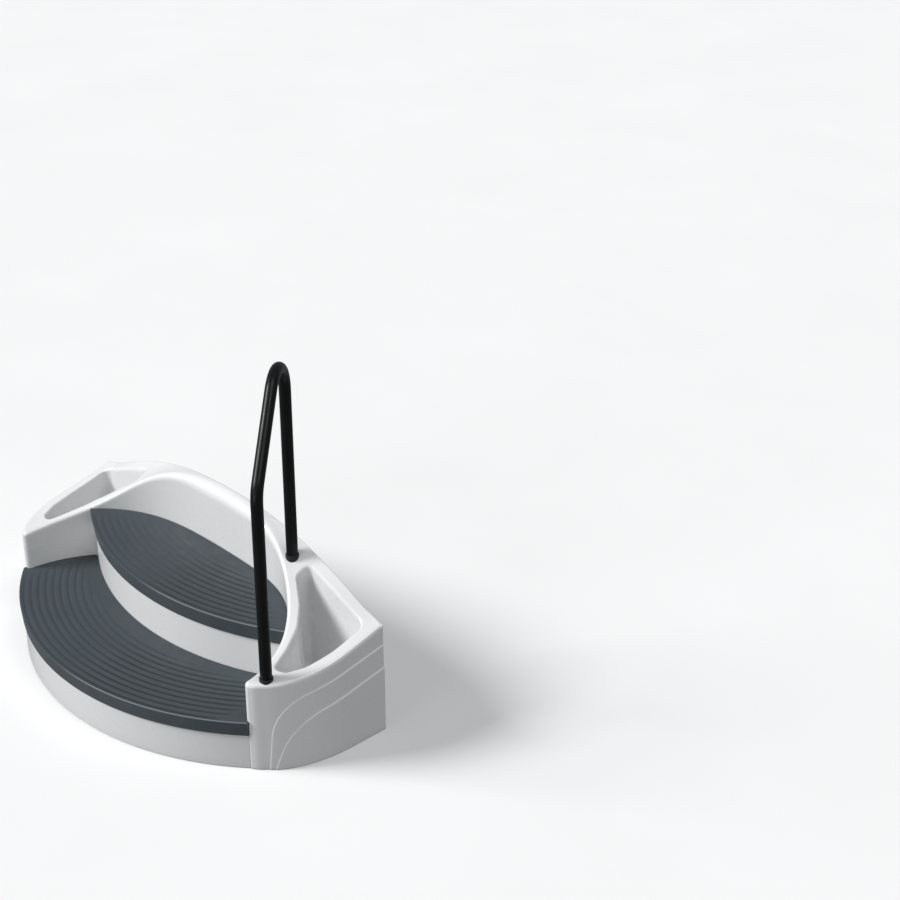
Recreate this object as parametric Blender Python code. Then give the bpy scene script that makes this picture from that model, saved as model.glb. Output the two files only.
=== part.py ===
"""Spa steps: a white moulded body with planter wings, two grey treads, a lift-out handrail and a frame.

Metres, +Z up. The middle of the front is at -Y and the spa stands behind the rear plane. The root empty puts
the middle of the footprint at the origin, and every piece below it is measured from the rear plane, Y = 0.
"""

from math import asin, cos, hypot, pi, radians, sin, sqrt, tan

import bmesh
import bpy
from mathutils import Vector

# ---- driving dimensions -----------------------------------------------------------------------------------
DEPTH = 0.7820  # rear plane to the front of the lower nosing
HALF_WIDTH = 0.8524  # middle to the outer face of a wing
GAP = 0.0003  # between pieces that touch
WALL = 0.008  # thickness of the moulded walls
FLOOR_GAP = 0.002  # the body hangs this far above the floor, and the feet carry it

LOWER_CENTRE_Y = 0.2731  # both front edges are arcs about centres behind the rear plane
LOWER_RISER_R = 1.0441
LOWER_TREAD_R = 1.0551
LOWER_NOSE_R = 1.0505
LOWER_TOP = 0.1986
LOWER_NOSE = 0.1420
LOWER_TREAD_REACH = 0.7080  # half the tread's width along its front edge
LOWER_RISER_REACH = (0.7030, 0.6958, 0.6740)  # the same for a riser's outer face, inner face and flange
UPPER_CENTRE_Y = 0.7306
UPPER_RISER_R = 1.1371
UPPER_TREAD_R = 1.1508
UPPER_NOSE_R = 1.1437
UPPER_TOP = 0.4070
UPPER_NOSE = 0.3460
UPPER_TREAD_REACH = 0.6005
UPPER_RISER_REACH = (0.5945, 0.5860, 0.5640)
UPPER_RISER_FOOT = 0.150  # the hidden lower edge of the upper riser
TREAD_SLAB = 0.010
TREAD_CHAMFER = 0.002
TREAD_CLEARANCE = 0.0025

NOSE_CENTRE = (0.704, -0.480)  # the rounded front end of a wing
NOSE_R = 0.018
SIDE_CENTRE = (0.6494, -0.170)  # the wing's outer face curves in along a quarter ellipse
SIDE_A = 0.203
SIDE_B = 0.342
WING_FRONT_TOP = 0.355
EDGE_R = 0.013
REAR_EDGE_R = 0.006

POCKET_FLOOR = 0.130
POCKET_DRAFT = 0.014
DRAIN_R = 0.0100
DRAIN_AT = (0.715, -0.200)

TUBE_R = 0.0212
TUBE_BORE_R = 0.0192
RAIL_FOOT = ((0.734, -0.434), (0.430, -0.064))  # front and rear foot of the handrail
RAIL_KNEE = 1.075
RAIL_LEAN = radians(41.9)
RAIL_KNEE_R = 0.090
RAIL_TOP_R = 0.125
RAIL_SOCKET = 0.110  # how deep the tube stands in each socket
PLUG_REST = 0.003  # thickness of the plug that closes each end of the tube
PLUG_STEM = 0.018
SOCKET_BORE_R = 0.0218
SOCKET_R = 0.0245
SOCKET_DROP = 0.034  # from the body's upper surface down to the socket's rim
COLLAR_R = 0.0243
COLLAR_RISE = 0.010  # the rubber collar stands this far above the body
RAIL_HOLE_R = 0.0247

BATTEN = 0.038
FRAME_X = 0.360
BASE_Z = 0.020
FOOT_Y = (-0.585, -0.150)
STUD_R = 0.005
STUD_TOP = BASE_Z + 0.030
NUT_FLANGE_R = 0.0168
NUT_BARREL_R = 0.0088
NUT_THREAD_R = 0.0056
PAD_R = 0.0245
PAD_TOP = 0.0090
PAD_CUP = 0.0060  # the stud's foot turns in a cup whose floor is this high

WHITE = ("white_moulding", (0.80, 0.81, 0.81, 1), 0.32, 0.0)
SLATE = ("slate_tread", (0.075, 0.090, 0.105, 1), 0.55, 0.0)
BLACK = ("black_powder_coat", (0.010, 0.010, 0.011, 1), 0.35, 0.6)
RUBBER = ("black_rubber", (0.015, 0.015, 0.016, 1), 0.75, 0.0)
TIMBER = ("treated_timber", (0.42, 0.33, 0.18, 1), 0.75, 0.0)
STEEL = ("zinc_steel", (0.55, 0.56, 0.57, 1), 0.30, 1.0)
NYLON = ("grey_nylon", (0.16, 0.17, 0.18, 1), 0.50, 0.0)

# ---- scene and helpers ------------------------------------------------------------------------------------
for old in list(bpy.data.objects):
    bpy.data.objects.remove(old, do_unlink=True)

ROOT = bpy.data.objects.new("spa_steps", None)
ROOT.location = (0, DEPTH / 2, 0)
bpy.context.scene.collection.objects.link(ROOT)


def material(finish):
    """The Principled material of a finish, made once."""
    name, colour, roughness, metallic = finish
    made = bpy.data.materials.get(name)
    if made is None:
        made = bpy.data.materials.new(name)
        made.use_nodes = True
        shader = made.node_tree.nodes["Principled BSDF"]
        shader.inputs["Base Color"].default_value = colour
        shader.inputs["Roughness"].default_value = roughness
        shader.inputs["Metallic"].default_value = metallic
    return made


def from_bmesh(name, bm, finish, at=(0, 0, 0)):
    """A finished object under the root from a bmesh, with its faces pointing out."""
    bmesh.ops.recalc_face_normals(bm, faces=bm.faces)
    mesh = bpy.data.meshes.new(name)
    bm.to_mesh(mesh)
    bm.free()
    mesh.shade_smooth()
    mesh.set_sharp_from_angle(angle=radians(35))
    mesh.materials.append(material(finish))
    made = bpy.data.objects.new(name, mesh)
    made.parent = ROOT
    made.location = at
    bpy.context.scene.collection.objects.link(made)
    return made


def loft(name, sections, finish, closed=False, at=(0, 0, 0)):
    """A skin over sections with equal numbers of points: capped at both ends, or joined up when closed."""
    bm = bmesh.new()
    rings = [[bm.verts.new(point) for point in section] for section in sections]
    following = rings[1:] + rings[:1] if closed else rings[1:]
    for ring, after in zip(rings, following):
        for i in range(len(ring)):
            j = (i + 1) % len(ring)
            bm.faces.new((ring[i], ring[j], after[j], after[i]))
    if not closed:
        bm.faces.new(rings[0])
        bm.faces.new(rings[-1])
    return from_bmesh(name, bm, finish, at)


def prism(name, outline, low, high, finish, axis="Z"):
    """An outline extruded along Z, or, with axis Y, an outline in X and Z extruded along Y."""
    if axis == "Y":
        sections = [[(x, y, z) for x, z in outline] for y in (low, high)]
    else:
        sections = [[(x, y, z) for x, y in outline] for z in (low, high)]
    return loft(name, sections, finish)


def box(name, low, high, finish):
    outline = [(low[0], low[1]), (high[0], low[1]), (high[0], high[1]), (low[0], high[1])]
    return prism(name, outline, low[2], high[2], finish)


def lathe(name, profile, finish, at=(0, 0, 0), sides=16, axis="Z"):
    """A profile of (radius, height) turned about Z, or laid over so that it is turned about Y."""
    bm = bmesh.new()
    verts = [bm.verts.new((radius, 0, height)) for radius, height in profile]
    pairs = list(zip(verts, verts[1:]))
    if profile[0][0] > 0:
        pairs.append((verts[-1], verts[0]))
    edges = [bm.edges.new(pair) for pair in pairs]
    bmesh.ops.spin(bm, geom=verts + edges, cent=(0, 0, 0), axis=(0, 0, 1), angle=2 * pi, steps=sides)
    bmesh.ops.remove_doubles(bm, verts=bm.verts, dist=1e-6)
    bmesh.ops.dissolve_degenerate(bm, dist=1e-7, edges=bm.edges)
    if axis == "Y":
        for vert in bm.verts:
            vert.co = (vert.co.x, vert.co.z, -vert.co.y)
    return from_bmesh(name, bm, finish, at)


def rod(name, radius, low, high, finish, at=(0, 0, 0), sides=20, axis="Z"):
    return lathe(name, [(0, low), (radius, low), (radius, high), (0, high)], finish, at, sides, axis)


def cut(target, cutter):
    """Takes the cutter's shape away from the target, and leaves the cutter as a hidden guide."""
    cutter.hide_render = True
    cutter.display_type = "WIRE"
    modifier = target.modifiers.new(cutter.name, "BOOLEAN")
    modifier.operation = "DIFFERENCE"
    modifier.object = cutter


def rounded(corners, closed, steps=4):
    """A path through (point, radius) corners, each turned into an arc of so many steps."""
    points = []
    count = len(corners)
    for i, (corner, radius) in enumerate(corners):
        if radius == 0 or (not closed and i in (0, count - 1)):
            points.append(tuple(corner))
            continue
        here = Vector(corner)
        back = (Vector(corners[i - 1][0]) - here).normalized()
        ahead = (Vector(corners[(i + 1) % count][0]) - here).normalized()
        half = back.angle(ahead) / 2
        centre = here + (back + ahead).normalized() * (radius / sin(half))
        start = here + back * (radius / tan(half)) - centre
        end = here + ahead * (radius / tan(half)) - centre
        turn = pi - 2 * half
        for step in range(steps + 1):
            part = step / steps
            arm = (start * sin((1 - part) * turn) + end * sin(part * turn)) / sin(turn)
            points.append(tuple(centre + arm))
    return points


def inset(outline, distance):
    """A counterclockwise outline with every side moved inwards by the distance."""
    moved = []
    for i, here in enumerate(outline):
        before = Vector(here) - Vector(outline[i - 1])
        after = Vector(outline[(i + 1) % len(outline)]) - Vector(here)
        normal = (before.normalized() + after.normalized()).normalized().orthogonal()
        share = max(0.5, normal.dot(before.normalized().orthogonal()))
        moved.append(tuple(Vector(here) + normal * (distance / share)))
    return moved


def mirrored(outline):
    return [(-x, y) for x, y in reversed(outline)]


# ---- the curves that the moulded body follows -------------------------------------------------------------
def arch(x):
    """Height of the back rim in the rear plane."""
    return 0.6431 - 0.2276 * x**2 - 0.3706 * x**4 + 0.4154 * x**6


def smooth_step(value):
    value = min(1.0, max(0.0, value))
    return value * value * (3 - 2 * value)


def rim_height(x, y):
    """Height of the body's upper surface: level at the middle of the back, falling along the wings."""
    along = (y + 0.5) / 0.5
    fall = 0.25 * along + 0.75 * along**2
    level = smooth_step((0.65 - abs(x)) / 0.45)
    share = fall + (1 - fall) * level
    lean = 0.006 * smooth_step((abs(x) - 0.62) / 0.18)
    return WING_FRONT_TOP + (arch(x) - WING_FRONT_TOP) * share - lean


def back_wall_y(x):
    return -(0.0548 + 0.0964 * x**2 + 1.1619 * x**4)


def wing_face_x(y):
    return 0.687 - 1.3 * (y + 0.5) ** 2


def arc_y(centre_y, radius, x):
    return centre_y - sqrt(radius**2 - x**2)


def nose_point(angle, depth):
    reach = NOSE_R - depth
    return (NOSE_CENTRE[0] + reach * cos(radians(angle)), NOSE_CENTRE[1] + reach * sin(radians(angle)))


def wing_face_point(y, depth):
    """A point on the wing's inner face, moved into the wing by depth."""
    slope = -2.6 * (y + 0.5)
    size = hypot(1, slope)
    return (wing_face_x(y) + depth / size, y - depth * slope / size)


def back_wall_point(x, depth):
    slope = -(0.1928 * x + 4.6476 * x**3)
    size = hypot(1, slope)
    return (x - depth * slope / size, back_wall_y(x) + depth / size)


def side_point(angle, depth):
    """A point on the outer face's quarter ellipse, moved into the wing by depth."""
    c = cos(radians(angle))
    s = sin(radians(angle))
    size = hypot(c / SIDE_A, s / SIDE_B)
    x = SIDE_CENTRE[0] + SIDE_A * c - depth * c / SIDE_A / size
    y = SIDE_CENTRE[1] - SIDE_B * s + depth * s / SIDE_B / size
    return (x, y)


def half_stations(depth, rear_y):
    """Pairs of inner and outer points from the right wing's nose to the middle of the back."""
    side_x = HALF_WIDTH - depth
    pairs = [(nose_point(a, depth), nose_point(b, depth)) for a, b in ((228, 247), (205, 270), (180, 295))]
    for step in range(1, 7):
        pairs.append((wing_face_point(-0.48 + 0.04 * step, depth), side_point(72 - 12 * step, depth)))
    pairs.append((back_wall_point(0.56, depth), (side_x, -0.085)))
    pairs.append((back_wall_point(0.52, depth), (side_x, rear_y)))
    steps = 11
    for step in range(1, steps + 1):
        share = 1 - step / steps
        pairs.append((back_wall_point(0.52 * share, depth), (side_x * share, rear_y)))
    return pairs


def body_sections(depth, rear_y, drop, bottom, edge_steps):
    """Cross-sections of the U-shaped body from nose to nose, walls moved in by depth and top down by drop."""
    right = half_stations(depth, rear_y)
    left = [((-i[0], i[1]), (-o[0], o[1])) for i, o in right[:-1]]
    sections = []
    for inner, outer in right + left[::-1]:
        a = Vector(inner)
        b = Vector(outer)
        across = (b - a).normalized()
        width = (b - a).length
        outer_r = min(REAR_EDGE_R if outer[1] > -0.02 else EDGE_R, 0.45 * width)
        inner_r = min(EDGE_R, 0.45 * width)
        spots = []
        if edge_steps:
            for step in range(edge_steps + 1):
                angle = step / edge_steps * pi / 2
                spots.append((a + across * inner_r * (1 - cos(angle)), inner_r * (1 - sin(angle))))
            middle_from, middle_to = a + across * inner_r, b - across * outer_r
        else:
            spots.append((a, 0))
            middle_from, middle_to = a, b
        spots += [(middle_from.lerp(middle_to, part), 0) for part in (1 / 3, 2 / 3)]
        if edge_steps:
            for step in range(edge_steps + 1):
                angle = (1 - step / edge_steps) * pi / 2
                spots.append((b - across * outer_r * (1 - cos(angle)), outer_r * (1 - sin(angle))))
        else:
            spots.append((b, 0))
        ring = [(spot.x, spot.y, rim_height(spot.x, spot.y) - drop - down) for spot, down in spots]
        sections.append([(a.x, a.y, bottom)] + ring + [(b.x, b.y, bottom)])
    return sections


POCKET_CORNERS = [
    ((0.494, -0.042), 0.020),
    ((0.492, -0.098), 0.020),
    ((0.570, -0.148), 0.050),
    ((0.627, -0.205), 0.080),
    ((0.672, -0.290), 0.150),
    ((0.708, -0.382), 0.020),
    ((0.752, -0.366), 0.030),
    ((0.783, -0.300), 0.100),
    ((0.795, -0.200), 0.120),
    ((0.795, -0.042), 0.035),
]


def pocket_rings(grow, floor, top):
    """The planter pocket's outline at its floor, where it is drawn in by the draft, and above the rim."""
    outline = rounded(POCKET_CORNERS, closed=True, steps=3)
    slope = POCKET_DRAFT / (WING_FRONT_TOP - POCKET_FLOOR)
    rings = []
    for height in (floor, WING_FRONT_TOP, top):
        narrowed = max(0.0, (WING_FRONT_TOP - height) * slope)
        rings.append([(x, y, height) for x, y in inset(outline, narrowed - grow)])
    return rings


# ---- moulded body -----------------------------------------------------------------------------------------
PANEL = 0.006
REBATE_Y = -PANEL - GAP
FLANGE_Y = -0.014
POCKET_TOP = 0.70


def rear_outline(margin, bottom):
    """The rear face's outline in X and Z, moved in by a margin."""
    reach = HALF_WIDTH - margin
    steps = 18
    across = [reach * (1 - 2 * i / steps) for i in range(steps + 1)]
    return [(-reach, bottom), (reach, bottom)] + [(x, arch(x) - margin) for x in across]


def make_body():
    body = loft("body_moulding", body_sections(0, 0, 0, FLOOR_GAP, 2), WHITE)
    hollow = loft("body_hollow", body_sections(WALL, FLANGE_Y, WALL, -0.01, 0), WHITE)
    for side, turn in (("right", False), ("left", True)):
        rings = {
            "cup": pocket_rings(WALL, POCKET_FLOOR - WALL, POCKET_TOP),
            "pocket": pocket_rings(0, POCKET_FLOOR, POCKET_TOP + 0.01),
        }
        for kind, sections in rings.items():
            if turn:
                sections = [[(-x, y, z) for x, y, z in reversed(ring)] for ring in sections]
            tool = loft(f"{kind}_{side}", sections, WHITE)
            cut(hollow if kind == "cup" else body, tool)
    cut(body, hollow)
    cut(body, prism("rear_window", rear_outline(0.034, 0.034), FLANGE_Y - 0.004, 0.002, WHITE, "Y"))
    cut(body, prism("rear_rebate", rear_outline(0.0085, -0.004), REBATE_Y, 0.003, WHITE, "Y"))
    for place, (x, y) in zip(("front", "rear"), RAIL_FOOT):
        cut(body, rod(f"{place}_rail_hole", RAIL_HOLE_R, 0.30, 0.70, WHITE, (x, y, 0)))
    for side, sign in (("right", 1), ("left", -1)):
        x, y = DRAIN_AT
        cut(body, rod(f"drain_hole_{side}", DRAIN_R + GAP, 0.10, 0.15, WHITE, (sign * x, y, 0), 16))
    return body


BODY = make_body()

# ---- back panel and its screws ----------------------------------------------------------------------------
SCREW_MARGIN = 0.021
SCREWS = [(x, arch(x) - SCREW_MARGIN) for x in (-0.80, -0.27, 0.27, 0.80)]
SCREWS += [(x, 0.060) for x in (SCREW_MARGIN - HALF_WIDTH, HALF_WIDTH - SCREW_MARGIN)]
SCREW_PROFILE = [(0, -0.0125), (0.0020, -0.0125), (0.0020, -0.0028), (0.0062, -0.0026), (0.0070, -0.0010)]
SCREW_PROFILE += [(0.0070, -0.0002), (0, -0.0002)]
back_panel = prism("back_panel", rear_outline(0.0090, 0.004), -PANEL, -GAP, WHITE, "Y")
for number, (x, z) in enumerate(SCREWS, 1):
    hole = rod(f"screw_hole_{number}", 0.0024, -0.020, 0.004, WHITE, (x, 0, z), 10, "Y")
    cut(back_panel, hole)
    cut(BODY, hole)
    recess = rod(f"screw_seat_{number}", 0.0075, -0.0029, 0.004, WHITE, (x, 0, z), 16, "Y")
    cut(back_panel, recess)
    lathe(f"back_panel_screw_{number}", SCREW_PROFILE, STEEL, (x, 0, z), 16, "Y")


# ---- treads -----------------------------------------------------------------------------------------------
def tread(name, centre_y, radii, heights, reach, rear_points):
    """A slab with a turned-down nosing: arcs at the front, and a given run of points at the rear."""
    top_r, nose_r, skirt_r = radii
    top, nose = heights
    under = top - TREAD_SLAB
    half_angle = asin(reach / top_r)
    last = len(rear_points) - 1
    sections = []
    for i, (rear_x, rear_y) in enumerate(rear_points):
        angle = half_angle * (1 - 2 * i / last)
        arcs = (top_r, nose_r, skirt_r, top_r - TREAD_CHAMFER)
        front, nosing, skirt, brow = [(r * sin(angle), centre_y - r * cos(angle)) for r in arcs]
        sections.append([
            (*front, top - TREAD_CHAMFER),
            (*nosing, nose),
            (*skirt, nose),
            (*skirt, under),
            (rear_x, rear_y, under),
            (rear_x, rear_y, top),
            (*brow, top),
        ])
    return loft(name, sections, SLATE)


def lower_rear_points():
    right = [(0.6860, -0.4990)]
    steps = 9
    for i in range(steps + 1):
        y = -0.484 + (-0.2480 + 0.484) * i / steps
        right.append((wing_face_x(y) - TREAD_CLEARANCE, y))
    steps = 10
    start = 0.590
    for i in range(steps + 1):
        x = start * (1 - i / steps)
        right.append((x, arc_y(UPPER_CENTRE_Y, UPPER_RISER_R + TREAD_CLEARANCE, x)))
    return right + mirrored(right[:-1])


def upper_rear_points():
    steps = 16
    reach = 0.597
    right = []
    for i in range(steps + 1):
        x = reach * (1 - i / steps)
        right.append((x, back_wall_y(x) - TREAD_CLEARANCE))
    return right + mirrored(right[:-1])


tread(
    "lower_tread",
    LOWER_CENTRE_Y,
    (LOWER_TREAD_R, LOWER_NOSE_R, LOWER_RISER_R + 0.0010),
    (LOWER_TOP, LOWER_NOSE),
    LOWER_TREAD_REACH,
    lower_rear_points(),
)
tread(
    "upper_tread",
    UPPER_CENTRE_Y,
    (UPPER_TREAD_R, UPPER_NOSE_R, UPPER_RISER_R + 0.0014),
    (UPPER_TOP, UPPER_NOSE),
    UPPER_TREAD_REACH,
    upper_rear_points(),
)


# ---- risers -----------------------------------------------------------------------------------------------
def riser(name, centre_y, radius, reach, low, high):
    """A curved kick panel with an inward flange along its top edge."""
    thickness = 0.006
    flange = 0.025
    steps = 32
    sections = []
    for i in range(steps + 1):
        share = 1 - 2 * i / steps
        outer = reach[0] * share
        inner = reach[1] * share
        back = reach[2] * share
        outside = (outer, arc_y(centre_y, radius, outer))
        inside = (inner, arc_y(centre_y, radius - thickness, inner))
        behind = (back, arc_y(centre_y, radius - flange, back))
        sections.append([
            (*outside, low),
            (*inside, low),
            (*inside, high - thickness),
            (*behind, high - thickness),
            (*behind, high),
            (*outside, high),
        ])
    return loft(name, sections, WHITE)


LOWER_UNDER = LOWER_TOP - TREAD_SLAB
UPPER_UNDER = UPPER_TOP - TREAD_SLAB
riser("lower_riser", LOWER_CENTRE_Y, LOWER_RISER_R, LOWER_RISER_REACH, FLOOR_GAP, LOWER_UNDER - GAP)
riser("upper_riser", UPPER_CENTRE_Y, UPPER_RISER_R, UPPER_RISER_REACH, UPPER_RISER_FOOT, UPPER_UNDER - GAP)

# ---- timber frame under the treads ------------------------------------------------------------------------
BASE_TOP = BASE_Z + BATTEN
LOWER_BEAM_TOP = LOWER_UNDER - 2 * GAP
UPPER_BEAM_TOP = UPPER_UNDER - 2 * GAP
BEAMS = (
    ("lower_front_beam", -0.600, 0.450, LOWER_BEAM_TOP),
    ("lower_rear_beam", -0.445, 0.500, LOWER_BEAM_TOP),
    ("upper_front_beam", -0.262, 0.420, UPPER_BEAM_TOP),
    ("upper_rear_beam", -0.138, 0.390, UPPER_BEAM_TOP),
)
HALF = BATTEN / 2
for name, y, reach, top in BEAMS:
    box(name, (-reach, y - HALF, top - BATTEN), (reach, y + HALF, top), TIMBER)
    for side, sign in (("right", 1), ("left", -1)):
        x = sign * FRAME_X
        post = name.replace("beam", "post") + f"_{side}"
        box(post, (x - HALF, y - HALF, BASE_TOP + GAP), (x + HALF, y + HALF, top - BATTEN - GAP), TIMBER)

# ---- base rails and levelling feet ------------------------------------------------------------------------
for side, sign in (("right", 1), ("left", -1)):
    x = sign * FRAME_X
    rail = box(f"base_rail_{side}", (x - HALF, -0.635, BASE_Z), (x + HALF, -0.115, BASE_TOP), TIMBER)
    for place, y in zip(("front", "rear"), FOOT_Y):
        corner = f"{place}_{side}"
        seat_r = NUT_FLANGE_R + 0.0004
        seat_top = BASE_Z + 0.0022
        bore_r = NUT_BARREL_R + 0.0004
        bore_top = STUD_TOP + 0.003
        bore = [(0, 0.010), (seat_r, 0.010), (seat_r, seat_top), (bore_r, seat_top), (bore_r, bore_top)]
        cut(rail, lathe(f"foot_bore_{corner}", bore + [(0, bore_top)], TIMBER, (x, y, 0)))
        flange_top = BASE_Z + 0.0018
        nut_top = BASE_Z + 0.020
        nut = [(NUT_THREAD_R, BASE_Z), (NUT_FLANGE_R, BASE_Z), (NUT_FLANGE_R, flange_top)]
        nut += [(NUT_BARREL_R, flange_top), (NUT_BARREL_R, nut_top), (NUT_THREAD_R, nut_top)]
        lathe(f"tee_nut_{corner}", nut, STEEL, (x, y, 0))
        pad = [(0, 0), (PAD_R - 0.0015, 0), (PAD_R, 0.0015), (PAD_R, 0.0045), (PAD_R / 2, PAD_TOP)]
        pad += [(0.0075, PAD_TOP), (0.0075, PAD_CUP), (0, PAD_CUP)]
        lathe(f"foot_pad_{corner}", pad, NYLON, (x, y, 0))
        ball = PAD_CUP + GAP
        stud = [(0, ball), (0.0070, ball), (0.0070, ball + 0.0030), (STUD_R, ball + 0.0033)]
        stud += [(STUD_R, 0.0110), (0.0100, 0.0110), (0.0100, 0.0170), (STUD_R, 0.0170)]
        stud += [(STUD_R, STUD_TOP), (0, STUD_TOP)]
        lathe(f"foot_stud_{corner}", stud, STEEL, (x, y, 0))

# ---- planter drain plugs ----------------------------------------------------------------------------------
for side, sign in (("right", 1), ("left", -1)):
    x, y = DRAIN_AT
    plug = [(0, -0.011), (DRAIN_R - 0.0006, -0.011), (DRAIN_R - 0.0004, GAP), (0.0170, GAP), (0.0170, 0.0030)]
    plug += [(0.0060, 0.0045), (0.0060, 0.0140), (0, 0.0140)]
    lathe(f"planter_drain_plug_{side}", plug, RUBBER, (sign * x, y, POCKET_FLOOR))


# ---- handrail ---------------------------------------------------------------------------------------------
def foot_height(place):
    x, y = RAIL_FOOT[place]
    return rim_height(x, y)


def rail_path():
    """The tube's centre line in its own upright plane, as (distance from the front foot, height)."""
    front, rear = RAIL_FOOT
    span = hypot(rear[0] - front[0], rear[1] - front[1])
    meeting = RAIL_KNEE + tan(RAIL_LEAN) * span
    corners = [
        ((0, foot_height(0) - RAIL_SOCKET), 0),
        ((0, RAIL_KNEE), RAIL_KNEE_R),
        ((span, meeting), RAIL_TOP_R),
        ((span, foot_height(1) - RAIL_SOCKET), 0),
    ]
    return rounded(corners, closed=False, steps=32)


def make_handrail():
    """The bent tube, as loops that run out along its wall and back along its bore."""
    path = [Vector(point) for point in rail_path()]
    front, rear = (Vector(foot) for foot in RAIL_FOOT)
    along = (rear - front).normalized()
    aside = Vector((-along.y, along.x, 0))
    sides = 18
    sections = []
    for k in range(sides):
        turn = 2 * pi * k / sides
        loop = []
        for radius in (TUBE_R, TUBE_BORE_R):
            line = []
            for i, here in enumerate(path):
                before = (here - path[i - 1]).normalized() if i else (path[1] - here).normalized()
                after = (path[i + 1] - here).normalized() if i + 1 < len(path) else before
                normal = (before + after).normalized().orthogonal()
                spread = 1 / max(0.5, (before + after).length / 2)
                spot = here + normal * (radius * cos(turn) * spread)
                flat = front + along * spot.x
                line.append(Vector((flat.x, flat.y, spot.y)) + aside * (radius * sin(turn)))
            loop += line if radius == TUBE_R else line[::-1]
        sections.append(loop)
    return loft("handrail_tube", sections, BLACK, closed=True)


make_handrail()
for place, (name, (x, y)) in enumerate(zip(("front", "rear"), RAIL_FOOT)):
    top = foot_height(place)
    bottom = top - RAIL_SOCKET
    stem_r = TUBE_BORE_R - GAP
    plug = [(0, -PLUG_REST), (TUBE_R, -PLUG_REST), (TUBE_R, -GAP), (stem_r, -GAP)]
    plug += [(stem_r, PLUG_STEM), (0, PLUG_STEM)]
    lathe(f"handrail_plug_{name}", plug, RUBBER, (x, y, bottom))
    low = -PLUG_REST - GAP
    base = low - 0.004
    rim = RAIL_SOCKET - SOCKET_DROP
    socket = [(0, base), (SOCKET_R, base), (SOCKET_R, rim), (SOCKET_BORE_R, rim)]
    socket += [(SOCKET_BORE_R, low), (0, low)]
    lathe(f"handrail_socket_{name}", socket, STEEL, (x, y, bottom))
    lip = RAIL_SOCKET + COLLAR_RISE
    collar = [(SOCKET_BORE_R, rim + GAP), (COLLAR_R, rim + GAP), (COLLAR_R, lip), (SOCKET_BORE_R, lip)]
    lathe(f"handrail_collar_{name}", collar, RUBBER, (x, y, bottom))
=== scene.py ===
"""Looks of the spa steps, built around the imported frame.

Everything is worked out in the steps' own plan, with the rear plane at Y = 0 and the front at -Y,
and is moved into the frame by REAR_Y at the end. The white body is a distance field, because its
rim, planter pockets and side relief run into each other through soft edges. The other pieces are
swept, turned or extruded.
"""

from math import acos, ceil, cos, hypot, inf, pi, radians, sin, sqrt, tan

import bmesh
import bpy
import numpy as np
import openvdb
from mathutils import Matrix, Vector


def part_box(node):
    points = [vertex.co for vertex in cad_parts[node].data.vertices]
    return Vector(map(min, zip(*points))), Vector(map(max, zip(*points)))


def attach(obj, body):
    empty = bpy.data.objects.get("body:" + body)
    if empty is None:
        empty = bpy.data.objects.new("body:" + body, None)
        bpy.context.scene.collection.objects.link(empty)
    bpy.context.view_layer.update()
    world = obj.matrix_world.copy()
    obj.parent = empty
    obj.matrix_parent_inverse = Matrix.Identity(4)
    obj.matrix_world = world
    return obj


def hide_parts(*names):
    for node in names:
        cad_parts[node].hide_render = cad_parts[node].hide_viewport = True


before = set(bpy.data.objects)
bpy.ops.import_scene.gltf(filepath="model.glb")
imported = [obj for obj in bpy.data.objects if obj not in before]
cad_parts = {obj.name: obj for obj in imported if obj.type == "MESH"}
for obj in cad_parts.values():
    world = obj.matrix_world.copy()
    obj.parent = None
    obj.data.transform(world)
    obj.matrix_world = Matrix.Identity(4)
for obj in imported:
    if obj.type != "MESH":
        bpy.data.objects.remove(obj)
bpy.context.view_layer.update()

# ---- driving dimensions, from the frame where it holds them ----
REAR_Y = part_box("body_moulding")[1].y
HALF_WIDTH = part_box("body_moulding")[1].x
FLOOR_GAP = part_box("body_moulding")[0].z
LOWER_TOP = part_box("lower_tread")[1].z
LOWER_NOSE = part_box("lower_tread")[0].z
UPPER_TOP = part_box("upper_tread")[1].z
UPPER_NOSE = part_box("upper_tread")[0].z
WALL = 0.008
GAP = 0.0003

LOWER_CENTRE_Y = 0.2731  # both front edges are arcs about centres behind the rear plane
LOWER_RISER_R = 1.0441
LOWER_TREAD_R = 1.0551
LOWER_NOSE_R = 1.0505
LOWER_TREAD_END = 0.708
LOWER_TREAD_CORNER = (0.59, -0.248)  # where its edge turns from the wing to the upper riser
LOWER_RISER_REACH = (0.703, 0.6958, 0.674)  # half widths outside, inside and behind the flange
UPPER_CENTRE_Y = 0.7306
UPPER_RISER_R = 1.1371
UPPER_TREAD_R = 1.1508
UPPER_NOSE_R = 1.1437
UPPER_TREAD_END = 0.6005
UPPER_TREAD_REAR_END = 0.597
UPPER_RISER_REACH = (0.5945, 0.586, 0.564)
TREAD_SLAB = 0.01
TREAD_CLEARANCE = 0.0025

NOSE_CENTRE = (0.704, -0.48)  # the rounded front end of a wing
NOSE_R = 0.018
WING_TIP_Y = -0.478  # where the wing's inner face leaves the nose
SIDE_CENTRE = (0.6494, -0.17)  # the wing's outer face curves in along a quarter ellipse
SIDE_A = 0.203
SIDE_B = 0.342
SIDE_END = radians(72)  # where the ellipse meets the nose
WING_JOIN_Y = -0.24  # where the wing's inner face meets the back wall
WING_FRONT_TOP = 0.355
EDGE_R = 0.013
REAR_EDGE_R = 0.006
BACK_EDGE_R = 0.046  # the back wall's top edge softens to this towards the middle
BACK_EDGE_START = 0.46  # it starts to soften this far from the middle
BACK_EDGE_BLEND = 0.4
SKIN = 0.0001  # the moulding is drawn this far inside the CAD's faces

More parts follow.
